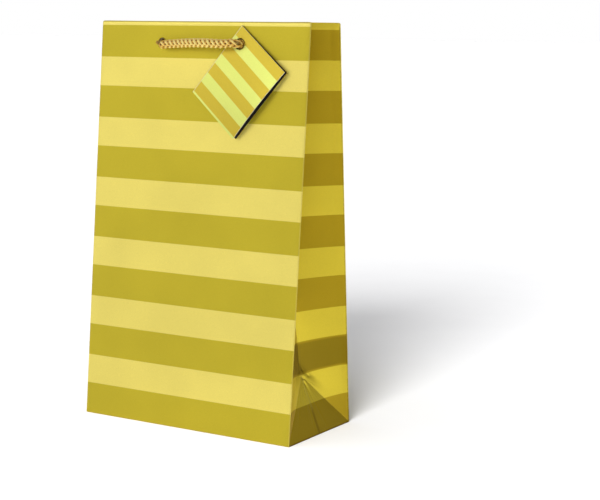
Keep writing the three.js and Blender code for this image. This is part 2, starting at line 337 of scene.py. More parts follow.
    def make(self) -> bpy.types.Material:
        """Builds the material."""
        material, tree, principled = new_material(
            self.name, Metallic=self.metallic, Roughness=self.roughness, IOR=1.5, Specular_IOR_Level=0.4,
            Specular_Tint=linear("d9bd3a"))
        spot = add_node(tree, "ShaderNodeTexCoord").outputs["Object"]
        across, along = self.place(tree)
        printed = tint(tree, self.stripe(tree, along), linear(self.light), linear(self.dark))
        cloud = remap(tree, noise(tree, spot, 45.0), 0.3, 0.7, 0.965, 1.035)
        grain = remap(tree, noise(tree, spot, 0.35, 3.0), 0.25, 0.75, 0.95, 1.05)
        shade = math_of(tree, "MULTIPLY", cloud, grain)
        # Painted shade: a darker band across the gusset's lower dark stripe, above the apex.
        if self.zone is Zone.GUSSET:
            middle = math_of(tree, "ABSOLUTE", math_of(tree, "SUBTRACT", along, self.shade_band_at))
            shade = math_of(tree, "MULTIPLY", shade, remap(tree, middle, 7.4, 9.0, self.shade_band, 1.0))
        grey = add_node(tree, "ShaderNodeCombineColor", {0: shade, 1: shade, 2: shade}).outputs[0]
        printed = tint(tree, 1.0, printed, grey, "MULTIPLY")
        nicks = remap(tree, noise(tree, spot, 1.1, 4.0), 0.38, 0.62, 0.45, 1.0)
        highlit, folded = self.marks(tree, across, along, nicks)
        # Mixes in the painted highlight.
        printed = tint(tree, math_of(tree, "MULTIPLY", highlit, 0.75), printed, linear(self.painted_highlight))
        # Mixes in the painted shade.
        printed = tint(tree, math_of(tree, "MULTIPLY", folded, 0.85), printed, linear(self.painted_shade))
        if self.zone is Zone.BOTTOM:
            facing = add_node(tree, "ShaderNodeSeparateXYZ",
                              {0: add_node(tree, "ShaderNodeNewGeometry").outputs["Normal"]}).outputs[2]
            printed = tint(tree, remap(tree, facing, 0.4, 0.6), printed, linear("ece9df"))
        tree.links.new(printed, principled.inputs["Base Color"])
        uneven = remap(tree, noise(tree, spot, 0.5, 2.0), 0.3, 0.7, self.roughness - 0.04, self.roughness + 0.05)
        tree.links.new(uneven, principled.inputs["Roughness"])
        bump(tree, principled, noise(tree, spot, 0.45, 3.0), 0.02, 0.35)
        return material


@dataclass(frozen=True)
class PaperBack:
    """The paper's plain side: matt and finely fibrous, white unless it is made near black as painted shade."""

    name: str = "uncoated_white_paper"
    colour: str = "eeebe2"
    fibre: str = "e4e0d5"
    roughness: float = 0.86

    def make(self) -> bpy.types.Material:
        """Builds the material."""
        material, tree, principled = new_material(self.name, Roughness=self.roughness, IOR=1.5)
        spot = add_node(tree, "ShaderNodeTexCoord").outputs["Object"]
        fibres = noise(tree, spot, 0.7, 5.0)
        tree.links.new(tint(tree, remap(tree, fibres, 0.35, 0.65), linear(self.fibre), linear(self.colour)),
                       principled.inputs["Base Color"])
        bump(tree, principled, fibres, 0.03, 0.4)
        return material


@dataclass(frozen=True)
class Greyboard:
    """Pressed waste board: matt, warm grey, with darker and paler flecks of fibre."""

    name: str = "pressed_greyboard"

    def make(self) -> bpy.types.Material:
        """Builds the material."""
        material, tree, principled = new_material(self.name, Roughness=0.92, IOR=1.5)
        spot = add_node(tree, "ShaderNodeTexCoord").outputs["Object"]
        flecks = noise(tree, spot, 0.9, 6.0)
        base = tint(tree, remap(tree, noise(tree, spot, 6.0, 3.0), 0.3, 0.7), linear("b3ac9c"), linear("c2bbab"))
        base = tint(tree, remap(tree, flecks, 0.62, 0.70), base, linear("7d766a"))
        base = tint(tree, remap(tree, flecks, 0.36, 0.30), base, linear("d9d4c6"))
        tree.links.new(base, principled.inputs["Base Color"])
        bump(tree, principled, flecks, 0.06, 0.5)
        return material


@dataclass(frozen=True)
class BraidedRope:
    """Braided rayon rope: glossy gold strands, with painted shade that darkens them to a red brown where they dive
    under and a painted highlight on their tops.
    """

    name: str = "braided_rayon_cord"
    # high is a painted highlight on the strands' tops, low a painted shade where they dive under; middle is the
    # strands' own gold.
    high: str = "f8e184"
    middle: str = "d6a238"
    low: str = "5c310c"

    def make(self) -> bpy.types.Material:
        """Builds the material, which paints shade and highlight by how high a strand lies, read from the attribute
        "lift".
        """
        material, tree, principled = new_material(self.name, Roughness=0.42, Metallic=0.1, IOR=1.5)
        lift = add_node(tree, "ShaderNodeAttribute", attribute_name="lift").outputs["Fac"]
        spot = add_node(tree, "ShaderNodeTexCoord").outputs["Object"]
        fibres = noise(tree, spot, 0.22, 3.0)
        stray = math_of(tree, "MULTIPLY", math_of(tree, "SUBTRACT", fibres, 0.5), 0.12)
        uneven = math_of(tree, "ADD", lift, stray)
        # Painted shade in the gaps and painted highlight on the tops, by how high each point lies.
        colour = tint(tree, remap(tree, uneven, 0.66, 0.86), linear(self.low), linear(self.middle))
        colour = tint(tree, remap(tree, uneven, 0.86, 1.0), colour, linear(self.high))
        tree.links.new(colour, principled.inputs["Base Color"])
        bump(tree, principled, fibres, 0.08, 0.5)
        return material


@dataclass
class Finishes:
    """Every finish of the bag, made once."""

    panel: bpy.types.Material = field(init=False)
    gusset: bpy.types.Material = field(init=False)
    bottom: bpy.types.Material = field(init=False)
    tag: bpy.types.Material = field(init=False)
    tag_inside: bpy.types.Material = field(init=False)
    back: bpy.types.Material = field(init=False)
    board: bpy.types.Material = field(init=False)
    rope: bpy.types.Material = field(init=False)

    def __post_init__(self) -> None:
        """Makes the materials."""
        self.panel = PrintedPaper("satin_gold_paper_panel", Zone.PANEL, "bbaa30", "e4d36b").make()
        # The gusset's copy of the print is darker and more orange than the panel's: partly painted shade and
        # painted reflection.
        self.gusset = PrintedPaper("satin_gold_paper_gusset", Zone.GUSSET, "b0951f", "dcc63c",
                                   rim_light=3.9).make()
        self.bottom = PrintedPaper("satin_gold_paper_bottom", Zone.BOTTOM, "b8a52b", "e2d05c").make()
        self.tag = PrintedPaper("satin_gold_card_tag", Zone.TAG, "c4ad3b", "d3da72", painted_highlight="ece6ae", pitch=13.5,
                                dark_width=7.0, first_light=0.7, roughness=0.36).make()
        # The tag's inside is near black: painted shade that stands in for the deep shade in the gap between its
        # leaves.
        self.tag_inside = PaperBack("painted_shade_black_card", "120d07", "0c0904", 0.7).make()
        self.back = PaperBack().make()
        self.board = Greyboard().make()
        self.rope = BraidedRope().make()


# ---- The bag's own geometry -------------------------------------------------------------------


@dataclass(frozen=True)
class BagShape:
    """The bag's sizes in millimetres, and the places that follow from them."""

    width: float = 140.0
    base_depth: float = 67.0
    height: float = 228.0
    mouth_depth: float = 32.0
    paper: float = 0.4
    hole_drop: float = 12.3
    hole_x: float = 26.75
    fold_radius: float = 0.5

    @property
    def run(self) -> float:
        """How far each wall leans in."""
        return (self.base_depth - self.mouth_depth) / 2

    @property
    def length(self) -> float:
        """The paper's length from the base fold to the rim."""
        return math.hypot(self.height, self.run)

    @property
    def half(self) -> float:
        """Half the base depth, which is also the width of half a gusset."""
        return self.base_depth / 2

    @property
    def sine(self) -> float:
        """Sine of the wall's lean."""
        return self.run / self.length

    @property
    def cosine(self) -> float:
        """Cosine of the wall's lean."""
        return self.height / self.length

    @property
    def hole_v(self) -> float:
        """The holes' height along the paper."""
        return self.length - self.hole_drop

    def wall(self, x: np.ndarray, out: np.ndarray, v: np.ndarray, back: bool = False) -> np.ndarray:
        """Points given across, outward from a wall's face and up along it.

        Args:
            x: Across the wall.
            out: Outward from its outer face.
            v: Up along the paper.
            back: Whether it is the back wall.

        Returns:
            The points in the bag's frame.
        """
        x, out, v = np.broadcast_arrays(np.asarray(x, float), out, v)
        points = np.stack([x, -self.half - out * self.cosine + v * self.sine,
                           v * self.cosine + out * self.sine], axis=-1)
        return points * (np.array([-1.0, -1.0, 1.0]) if back else 1.0)

    def half_depth(self, z: np.ndarray) -> np.ndarray:
        """Half the bag's depth at a height."""
        return self.half - self.run * z / self.height

    def inset(self, z: np.ndarray) -> np.ndarray:
        """How far the gusset's crease is folded in at a height."""
        return np.sqrt(np.maximum(0.0, self.half ** 2 - self.half_depth(z) ** 2))

    def gusset(self, u: np.ndarray, v: np.ndarray) -> np.ndarray:
        """Points of the right gusset's front half and of its base triangle.

        Args:
            u: Along the paper from the vertical fold to the centre crease.
            v: Up the paper from the base fold.

        Returns:
            The points in the bag's frame.
        """
        apex = self.half / (1 + self.run / self.height)
        s = np.maximum(0.0, (v - u) / (self.length - u))
        edge = np.stack([np.full_like(s, self.width / 2), -self.half_depth(s * self.height),
                         s * self.height], -1)
        high = apex + s * (self.height - apex)
        crease = np.stack([self.width / 2 - self.inset(high), np.zeros_like(s), high], -1)
        upper = edge + (crease - edge) * (u / self.half)[..., None]
        tilt = float(self.inset(np.array(apex))) / self.half
        lower = np.stack([self.width / 2 - v * tilt, u - self.half, v * apex / self.half], -1)
        return np.where((v < u)[..., None], lower, upper)


@dataclass
class Shell:
    """A thin closed sheet: a printed skin, a plain skin and the edges between them."""

    name: str
    printed: np.ndarray
    plain: np.ndarray
    paper: np.ndarray

    def build(self, face: bpy.types.Material, back: bpy.types.Material,
              edge: Optional[bpy.types.Material] = None) -> bpy.types.Object:
        """Builds the mesh with its UV map "paper" in metres.

        Args:
            face: The printed skin's material.
            back: The plain skin's material.
            edge: The cut edges' material, if not the printed skin's.

        Returns:
            The finished object.
        """
        rows, columns = self.printed.shape[:2]
        count = rows * columns
        at = np.arange(count).reshape(rows, columns)
        faces: list[tuple[int, ...]] = []
        kinds: list[int] = []
        for kind, shift in ((0, 0), (1, count)):
            ring = (at[:-1, :-1], at[:-1, 1:], at[1:, 1:], at[1:, :-1])
            quads = np.stack([r.ravel() + shift for r in (ring if kind == 0 else ring[::-1])], -1)
            faces += [tuple(q) for q in quads.tolist()]
            kinds += [kind] * len(quads)
        border = np.concatenate([at[0, :-1], at[:-1, -1], at[-1, :0:-1], at[:0:-1, 0]])
        for a, b in zip(border, np.roll(border, -1)):
            faces.append((int(b), int(a), int(a) + count, int(b) + count))
            kinds.append(2 if edge else 0)
        points = np.concatenate([self.printed.reshape(-1, 3), self.plain.reshape(-1, 3)])
        points[:, 2] = np.maximum(points[:, 2], 0.0)
        made = put_mesh(self.name, points, faces)
        for material in (face, back, edge) if edge else (face, back):
            made.data.materials.append(material)
        made.data.polygons.foreach_set("material_index", kinds)
        layer = made.data.uv_layers.new(name="paper")
        flat = np.tile(self.paper.reshape(-1, 2) * MM, (2, 1))
        corners = np.empty(len(made.data.loops), dtype=np.int32)
        made.data.loops.foreach_get("vertex_index", corners)
        layer.data.foreach_set("uv", flat[corners].ravel())
        face_outwards(made)
        return made


def drill(piece: bpy.types.Object, centres: np.ndarray, direction: np.ndarray, radius: float) -> None:
    """Cuts round holes through a piece.

    Args:
        piece: The piece to cut.
        centres: The holes' centres, in millimetres.
        direction: Along the holes.
        radius: The holes' radius, in millimetres.
    """
    turn = Vector(direction).to_track_quat("Z", "Y").to_matrix().to_4x4()
    for centre in centres:
        work = bmesh.new()
        bmesh.ops.create_cone(work, cap_ends=True, segments=40, radius1=radius * MM, radius2=radius * MM,
                              depth=8 * MM, matrix=Matrix.Translation(Vector(centre) * MM) @ turn)
        mesh = bpy.data.meshes.new("drill")
        work.to_mesh(mesh)
        work.free()
        cutter = bpy.data.objects.new("drill", mesh)
        bpy.context.scene.collection.objects.link(cutter)
        cut = piece.modifiers.new("hole", "BOOLEAN")
        cut.operation, cut.solver, cut.object = "DIFFERENCE", "EXACT", cutter
        applied(piece)
        bpy.data.objects.remove(cutter)


# ---- Walls ------------------------------------------------------------------------------------


@dataclass
class Wall:
    """One wide side of the bag: panel, rounded folds, and the rim turned down inside over its card."""

    shape: BagShape
    finishes: Finishes
    back: bool = False
    hem_depth: float = 30.0
    hem_in: float = 2.2
    hem_clearance: float = 5.8
    hole_radius: float = 2.8
    bow: float = 0.45

    @property
    def side(self) -> str:
        """The wall's word in names."""
        return "back" if self.back else "front"

    def profile(self) -> np.ndarray:
        """Rows of (height, depth, normal up, normal in, how far into the hem, paper length)."""
        length, r, foot = self.shape.length, self.hem_in / 2, 0.5
        rows = []
        for angle in np.linspace(math.pi / 2, 0.0, 5)[:-1]:
            rows.append((foot - foot * math.sin(angle), foot - foot * math.cos(angle), math.sin(angle),
                         math.cos(angle), 0.0, -foot * angle))
        low = np.concatenate([np.linspace(foot, 12, 10)[:-1], np.linspace(12, length - 20, 70)[:-1],
                              np.linspace(length - 20, length - r, 18)])
        rows += [(v, 0.0, 0.0, 1.0, 0.0, v) for v in low]
        for angle in np.linspace(0.0, math.pi, 11)[1:]:
            rows.append((length - r + r * math.sin(angle), r - r * math.cos(angle), -math.sin(angle),
                         math.cos(angle), angle / math.pi, length - r + r * angle))
        for down in np.linspace(0.0, self.hem_depth - r, 12)[1:]:
            rows.append((length - r - down, 2 * r, 0.0, -1.0, 1.0, length - r + r * math.pi + down))
        return np.array(rows)

    def sheet(self) -> bpy.types.Object:
        """Builds the folded sheet with its two holes."""
        shape, r, steps = self.shape, self.shape.fold_radius, 7
        rows = self.profile()
        v, depth, up, inward, hem, along = (rows[:, i][:, None] for i in range(6))
        flat = shape.width / 2 - r
        turns = np.linspace(0.0, 1.0, steps + 1)[1:]
        share = np.concatenate([-turns[::-1], np.zeros(57), turns])[None, :]
        body = np.concatenate([np.full(steps, -1.0), np.linspace(-1.0, 1.0, 57), np.full(steps, 1.0)])
        body = body[None, :]
        tilt = np.arcsin(shape.inset(np.clip(v, 0, shape.length) * shape.cosine) / shape.half)
        keep = 1.0 - smoothstep(hem)
        angle = np.abs(share) * (math.pi / 2 + tilt) * keep
        reach = flat - (self.hem_clearance - r) * smoothstep((hem - 0.3) / 0.7)
        round_x = r * (np.sin(angle) * keep + np.abs(share) * (1 - keep))
        x = body * reach + np.sign(share) * round_x
        turned = r * (1 - np.cos(angle)) * keep
        swell = self.bow * np.sin(np.pi * np.clip(v / shape.length, 0, 1)) * np.clip(1 - (x / 66) ** 2, 0, 1)
        ripple = 0.10 * np.sin(x / 23 + 1.3) * np.sin(v / 31) * np.clip((shape.length - 34 - v) / 30, 0, 1)
        ripple = ripple * np.clip(1 - (x / 66) ** 2, 0, 1)
        ins = depth + turned - (swell + ripple) * (1 - np.clip(hem * 4, 0, 1))
        printed = shape.wall(x, -ins, v + 0 * x, self.back)
        in_x = -np.sign(share) * np.sin(angle) * inward
        in_d = np.cos(angle) * inward
        plain = shape.wall(x + shape.paper * in_x, -(ins + shape.paper * in_d), v + shape.paper * up + 0 * x,
                           self.back)
        arc = np.abs(share) * r * (math.pi / 2)
        across = body * flat + np.sign(share) * arc
        paper = np.stack(np.broadcast_arrays(across, along + 0 * x), -1)
        skins = Shell(f"{self.side}_wall_sheet", printed, plain, paper)
        made = skins.build(self.finishes.panel, self.finishes.back)
        centres = shape.wall(np.array([-shape.hole_x, shape.hole_x]), 0.0, shape.hole_v, self.back)
        outward = np.array([0.0, -shape.cosine, shape.sine]) * (np.array([1, -1, 1]) if self.back else 1)
        drill(made, centres, outward, self.hole_radius)
        smooth(made, 50)
        return made

    def make(self) -> None:
        """Builds the wall and dresses the nodes that stay."""
        side = self.side
        settle(self.sheet(), f"{side}_wall", "striped_paper", f"{side}_panel", f"{side}_rim_hem")
        dress_node(f"{side}_rim_card", self.finishes.board)
        if self.back:
            dress_node("side_seam_tab", self.finishes.back)


# ---- Gussets ----------------------------------------------------------------------------------


@dataclass
class GussetQuarter:
    """Half of a folded side, from a wall's vertical fold to the centre crease, with its base triangle."""

    shape: BagShape
    finishes: Finishes
    right: bool
    back: bool
    hem_depth: float = 30.0
    hem_in: float = 1.1
    hem_start: float = 7.3
    valley_at: float = 34.4
    valley_depth: float = 1.0
    seed: int = 5

    @property
    def name(self) -> str:
        """The quarter's words in names."""
        return f"{'right' if self.right else 'left'}_gusset_{'back' if self.back else 'front'}"

    def crinkle(self, u: np.ndarray, v: np.ndarray) -> np.ndarray:
        """How far small creases push the paper out, in millimetres."""
        rng = np.random.default_rng(self.seed + 2 * self.right + self.back)
        du, dv = self.shape.half - u, v - self.shape.half
        reach = np.hypot(du, dv) + 1e-6
        bearing = np.degrees(np.arctan2(dv, du))
        push = np.zeros_like(u)
        fans = ((-45, 9, 6, 0.16), (-84, 7, 5, 0.17), (86, 5, 4, 0.10), (-20, 25, 4, 0.06))
        for middle, spread, count, size in fans:
            for _ in range(count):
                line = rng.normal(middle, spread)
                width = rng.uniform(0.35, 0.8)
                far = rng.uniform(8, 26)
                offset = np.radians(bearing - line) * reach
                height = rng.choice([-1, 1]) * size * rng.uniform(0.5, 1.2)
                ridge = np.exp(-(offset / width) ** 2) * np.exp(-(reach / far) ** 2)
                push += height * ridge * np.clip(reach / 2, 0, 1)
        for _ in range(26):
            cu, cv = rng.normal(0, 1.7, 2)
            size = rng.uniform(0.4, 0.8)
            push += rng.normal(0, 0.22) * np.exp(-((du - abs(cu)) ** 2 + (dv - cv) ** 2) / size ** 2)
        bend = 0.35 * np.sin(np.pi * np.clip(u / self.shape.half, 0, 1)) * np.sin(
            np.pi * np.clip((v - 40) / (self.shape.length - 46), 0, 1))
        edge = smoothstep(u / 2.5) * smoothstep((self.shape.half - u) / 0.8) * smoothstep(v / 2.0)
        slope = np.clip(1 - np.abs(v - self.valley_at) / np.where(v < self.valley_at, 18.0, 20.0), 0, 1) ** 1.2
        valley = -self.valley_depth * slope * smoothstep(u / 4.0) * smoothstep((v - u) / 9.0)
        return push * edge + bend + valley

    def sheet(self) -> bpy.types.Object:
        """Builds the quarter's folded sheet."""
        shape, r, columns = self.shape, self.hem_in / 2, 64
        fold, top = shape.fold_radius, shape.length - self.hem_in / 2
        across = np.linspace(0.0, 1.0, columns + 1)
        across = (across + 0.10 * np.sin(2 * np.pi * across) / (2 * np.pi) * -1)[None, :]
        low = [("low", t) for t in np.linspace(0.003, 1.0, 60)]
        rise = np.concatenate([np.linspace(0, 0.14, 56)[1:], np.linspace(0.14, 1.0, 80)[1:]])
        rows = low + [("high", s) for s in rise]
        rows += [("fold", a) for a in np.linspace(0, math.pi, 9)[1:]]
        rows += [("hem", d) for d in np.linspace(0, self.hem_depth - r, 10)[1:]]
        u, v, depth = (np.zeros((len(rows), columns + 1)) for _ in range(3))
        up, inward, hem, along = (np.zeros((len(rows), 1)) for _ in range(4))
        paper_v = np.zeros_like(u)
        for i, (kind, value) in enumerate(rows):
            level = {"low": 0.0, "high": value, "fold": 1.0, "hem": 1.0}[kind]
            tilt = math.asin(float(shape.inset(np.array(level * shape.height))) / shape.half)
            turn = math.pi / 2 + tilt
            first = fold * (math.sin(turn) - math.cos(turn))
            part = {"low": 0.0, "high": 0.0, "fold": value / math.pi, "hem": 1.0}[kind]
            first += (self.hem_start - first) * float(smoothstep(np.array((part - 0.3) / 0.7)))
            u[i] = first + (shape.half - first) * across[0]
            inward[i] = 1.0
            if kind == "low":
                v[i] = value * u[i]
                paper_v[i] = v[i]
            elif kind == "high":
                v[i] = u[i] + value * (top - u[i])
                paper_v[i] = v[i]
            elif kind == "fold":
                v[i], depth[i] = top + r * math.sin(value), r - r * math.cos(value)
                up[i], inward[i], paper_v[i] = -math.sin(value), math.cos(value), top + r * value
            else:
                v[i], depth[i], inward[i], paper_v[i] = top - value, 2 * r, -1.0, top + r * math.pi + value
            hem[i] = part
        step = 0.05
        here = shape.gusset(u, v)
        away = np.where(v >= u, 1.0, -1.0)
        side_u = np.where((v < u) | (u < shape.half - 2 * step), step, -step)
        level = np.maximum(0.0, (v - u) / (shape.length - u))
        beside = shape.gusset(u + side_u, v + np.where(v < u, 0.0, (1 - level) * side_u))
        along_u = (beside - here) / side_u[..., None]
        along_v = (shape.gusset(u, v + step * away) - here) / (step * away)[..., None]
        normal = np.cross(along_v, along_u)
        normal /= np.linalg.norm(normal, axis=-1, keepdims=True)
        along_v /= np.linalg.norm(along_v, axis=-1, keepdims=True)
        tilt = np.arcsin(shape.inset(np.clip(v, 0, None) * shape.cosine) / shape.half)
        turn = math.pi / 2 + tilt
        shift = fold * (np.sin(turn) + np.cos(turn) - 1) * (1 - smoothstep((u - u[:, :1]) / 6.0)) * (1 - hem)
        shift = shift * smoothstep(v / 3.0)
        printed = here + normal * (depth + shift - self.crinkle(u, v) * (1 - hem))[..., None]
        plain = printed + shape.paper * (up[..., None] * along_v + inward[..., None] * normal)
        flow = along_u / np.linalg.norm(along_u, axis=-1, keepdims=True)
        for skin in (printed, plain):
            end = skin[:, -1]
            end -= flow[:, -1] * ((end[:, 1] + 0.01) / flow[:, -1, 1])[:, None]
        mirror = np.array([1.0 if self.right else -1.0, -1.0 if self.back else 1.0, 1.0])
        paper = np.stack([u, paper_v], -1)
        made = Shell(f"{self.name}_sheet", printed * mirror, plain * mirror, paper)
        piece = made.build(self.finishes.gusset, self.finishes.back)
        smooth(piece, 24)
        return piece

    def make(self) -> None:
        """Builds the quarter and bends it between the base and its wall."""
        piece = self.sheet()
        wall = "back_wall" if self.back else "front_wall"
        outward = Vector((0, self.shape.cosine * (1 if self.back else -1), self.shape.sine))
        plane = self.shape.half * self.shape.cosine
        nodes = [f"{self.name}_half", f"{self.name}_hem"]
        if not self.back:
            nodes.append(f"{'right' if self.right else 'left'}_base_triangle")
        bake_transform(piece, "bag_base", wall, start=outward * 17.6 * MM, end=outward * plane * MM)
        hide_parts(*nodes)
        LOG.info("%s bends from bag_base to %s, %d faces", piece.name, wall, len(piece.data.polygons))


# ---- Bottom -----------------------------------------------------------------------------------


@dataclass
class Bottom:
    """The glued flaps under the bag and the loose board on them."""

    finishes: Finishes

    def make(self) -> None:
        """Dresses the nodes, whose shapes are right as they are."""
        for side in ("front", "back", "left", "right"):
            dress_node(f"bottom_flap_{side}", self.finishes.bottom)
        dress_node("base_board", self.finishes.board)
        LOG.info("bottom flaps and base board dressed")


# ---- Rope -------------------------------------------------------------------------------------


def strand_tree(name: str) -> bpy.types.NodeTree:
    """A Geometry Nodes tree that sweeps round strands along polylines and notes how high they lie."""
    tree = bpy.data.node_groups.new(name, "GeometryNodeTree")
    face = tree.interface
    face.new_socket("Geometry", in_out="INPUT", socket_type="NodeSocketGeometry")
    face.new_socket("Strand radius", in_out="INPUT", socket_type="NodeSocketFloat")
    face.new_socket("Rope radius", in_out="INPUT", socket_type="NodeSocketFloat")
    face.new_socket("Sides", in_out="INPUT", socket_type="NodeSocketInt")
    face.new_socket("Finish", in_out="INPUT", socket_type="NodeSocketMaterial")
    face.new_socket("Geometry", in_out="OUTPUT", socket_type="NodeSocketGeometry")
    given = add_node(tree, "NodeGroupInput")
    curve = add_node(tree, "GeometryNodeMeshToCurve", {0: given.outputs["Geometry"]})
    ring = add_node(tree, "GeometryNodeCurvePrimitiveCircle",
                    {"Resolution": given.outputs["Sides"], "Radius": given.outputs["Strand radius"]},
                    mode="RADIUS")
    swept = add_node(tree, "GeometryNodeCurveToMesh",
                     {"Curve": curve.outputs[0], "Profile Curve": ring.outputs[0], "Fill Caps": True})
    core = add_node(tree, "GeometryNodeInputNamedAttribute", {"Name": "core_point"}, data_type="FLOAT_VECTOR")
    place = add_node(tree, "GeometryNodeInputPosition")
    gap = add_node(tree, "ShaderNodeVectorMath", {0: place.outputs[0], 1: core.outputs[0]},
                   operation="DISTANCE")
    share = add_node(tree, "ShaderNodeMath", {0: gap.outputs["Value"], 1: given.outputs["Rope radius"]},
                     operation="DIVIDE")
    kept = add_node(tree, "GeometryNodeStoreNamedAttribute",
                    {"Geometry": swept.outputs[0], "Name": "lift", "Value": share.outputs[0]},
                    data_type="FLOAT", domain="POINT")
    soft = add_node(tree, "GeometryNodeSetShadeSmooth", {"Geometry": kept.outputs[0]})
    real = add_node(tree, "GeometryNodeRealizeInstances", {0: soft.outputs[0]})
    dressed = add_node(tree, "GeometryNodeSetMaterial",
                       {"Geometry": real.outputs[0], "Material": given.outputs["Finish"]})
    out = add_node(tree, "NodeGroupOutput")
    tree.links.new(dressed.outputs[0], out.inputs["Geometry"])
    return tree


def resample(points: np.ndarray, step: float) -> np.ndarray:
    """Catmull-Rom through the points, in even steps of about so many millimetres."""
    p = np.vstack([2 * points[0] - points[1], points, 2 * points[-1] - points[-2]])
    fine = []
    for i in range(1, len(p) - 2):
        t = np.linspace(0, 1, 24, endpoint=False)[:, None]
        a, b, c, d = p[i - 1], p[i], p[i + 1], p[i + 2]
        fine.append(0.5 * (2 * b + (c - a) * t + (2 * a - 5 * b + 4 * c - d) * t ** 2
                           + (3 * b - a - 3 * c + d) * t ** 3))
    curve = np.vstack(fine + [points[-1:]])
    gone = np.concatenate([[0], np.cumsum(np.linalg.norm(np.diff(curve, axis=0), axis=1))])
    even = np.linspace(0, gone[-1], max(4, int(round(gone[-1] / step)) + 1))
    return np.stack([np.interp(even, gone, curve[:, k]) for k in range(3)], -1)


def carried_frames(path: np.ndarray) -> tuple[np.ndarray, np.ndarray]:
    """Two directions across a path at each of its points, without twist."""
    tangent = np.gradient(path, axis=0)
    tangent /= np.linalg.norm(tangent, axis=1, keepdims=True)
    normal = np.cross(tangent[0], [0.13, 0.21, 0.97])
    if np.linalg.norm(normal) < 0.2:
        normal = np.cross(tangent[0], [1.0, 0.1, 0.0])
    normals = []
    for t in tangent:
        normal = normal - t * float(normal @ t)
        normal = normal / np.linalg.norm(normal)
        normals.append(normal)
    first = np.array(normals)
    return first, np.cross(tangent, first)


@dataclass
class Braid:
    """A round braid of strands that pass over and under each other."""

    finishes: Finishes
    radius: float = 2.5
    strand: float = 0.8
    wave: float = 0.2
    pitch: float = 12.0
    carriers: int = 4
    sides: int = 8
    step: float = 0.4
    _tree: Optional[bpy.types.NodeTree] = None

    def build(self, name: str, route: np.ndarray, girth: Optional[Callable[[np.ndarray], np.ndarray]] = None,
              sides: int = 0, step: float = 0.0) -> tuple[bpy.types.Object, np.ndarray]:
        """Braids strands along a route.

        Args:
            name: The piece's name.
            route: Points that the rope passes through, in millimetres.
            girth: Share of the full radius at each length along the rope.
            sides: Sides of each strand, if not the usual.
            step: Steps along the strands, if not the usual.

        Returns:
            The rope as a plain mesh object, and its centre line in millimetres.
        """
        path = resample(route, step or self.step)
        across, other = carried_frames(path)
        gone = np.concatenate([[0], np.cumsum(np.linalg.norm(np.diff(path, axis=0), axis=1))])
        share = np.ones_like(gone) if girth is None else girth(gone)
        points, edges, cores = [], [], []
        middle = self.radius - self.strand - self.wave
        for way in (1, -1):
            for k in range(self.carriers):
                angle = way * 2 * math.pi * gone / self.pitch + k * 2 * math.pi / self.carriers
                crossing = 2 * k + way * 2 * self.carriers * gone / self.pitch - 0.5
                high = middle + way * self.wave * np.cos(math.pi / 2 * crossing)
                outward = across * np.cos(angle)[:, None] + other * np.sin(angle)[:, None]
                strand = path + outward * (high * share)[:, None]
                start = sum(len(p) for p in points)
                points.append(strand)
                cores.append(path)
                edges += [(start + i, start + i + 1) for i in range(len(strand) - 1)]
        mesh = bpy.data.meshes.new(name)
        mesh.from_pydata([tuple(p) for p in np.vstack(points) * MM], edges, [])
        held = mesh.attributes.new("core_point", "FLOAT_VECTOR", "POINT")
        held.data.foreach_set("vector", (np.vstack(cores) * MM).ravel())
        made = bpy.data.objects.new(name, mesh)
        bpy.context.scene.collection.objects.link(made)
        if self._tree is None:
            self._tree = strand_tree("sweep_strands")
        sweep = made.modifiers.new("strands", "NODES")
        sweep.node_group = self._tree
        values = {"Strand radius": self.strand * MM, "Rope radius": self.radius * MM,
                  "Sides": sides or self.sides, "Finish": self.finishes.rope}
        for item in self._tree.interface.items_tree:
            if item.in_out == "INPUT" and item.name in values:
                sweep[item.identifier] = values[item.name]
        applied(made)
        self.fill(made, path, across, other, share)
        made.data.polygons.foreach_set("use_smooth", [True] * len(made.data.polygons))
        return made, path

    def fill(self, rope: bpy.types.Object, path: np.ndarray, across: np.ndarray, other: np.ndarray,
             share: np.ndarray) -> None:
        """Adds the rope's plain core, which closes the gaps between its strands and carries the dark painted shade
        between them.
        """
        keep = np.unique(np.concatenate([np.arange(0, len(path), 3), [len(path) - 1]]))
        sides, radius = 8, self.radius - 2 * self.strand + 0.28
        turn = np.linspace(0, 2 * math.pi, sides, endpoint=False)
        cosine, sine = np.cos(turn)[:, None], np.sin(turn)[:, None]
        rings = [path[i] + radius * share[i] * (cosine * across[i] + sine * other[i]) for i in keep]
        work = bmesh.new()
        work.from_mesh(rope.data)
        lift = work.verts.layers.float["lift"]
        made = [[work.verts.new(Vector(p) * MM) for p in ring] for ring in rings]
        # Painted shade: the core's low lift gives it the rope's darkest colour.
        for ring in made:
            for vertex in ring:
                vertex[lift] = 0.5
        fresh = []
        for a, b in zip(made[:-1], made[1:]):
            for i in range(sides):
                j = (i + 1) % sides
                fresh.append(work.faces.new((a[i], a[j], b[j], b[i])))
        fresh.append(work.faces.new(made[0][::-1]))
        fresh.append(work.faces.new(made[-1]))
        bmesh.ops.recalc_face_normals(work, faces=fresh)
        work.to_mesh(rope.data)
        work.free()


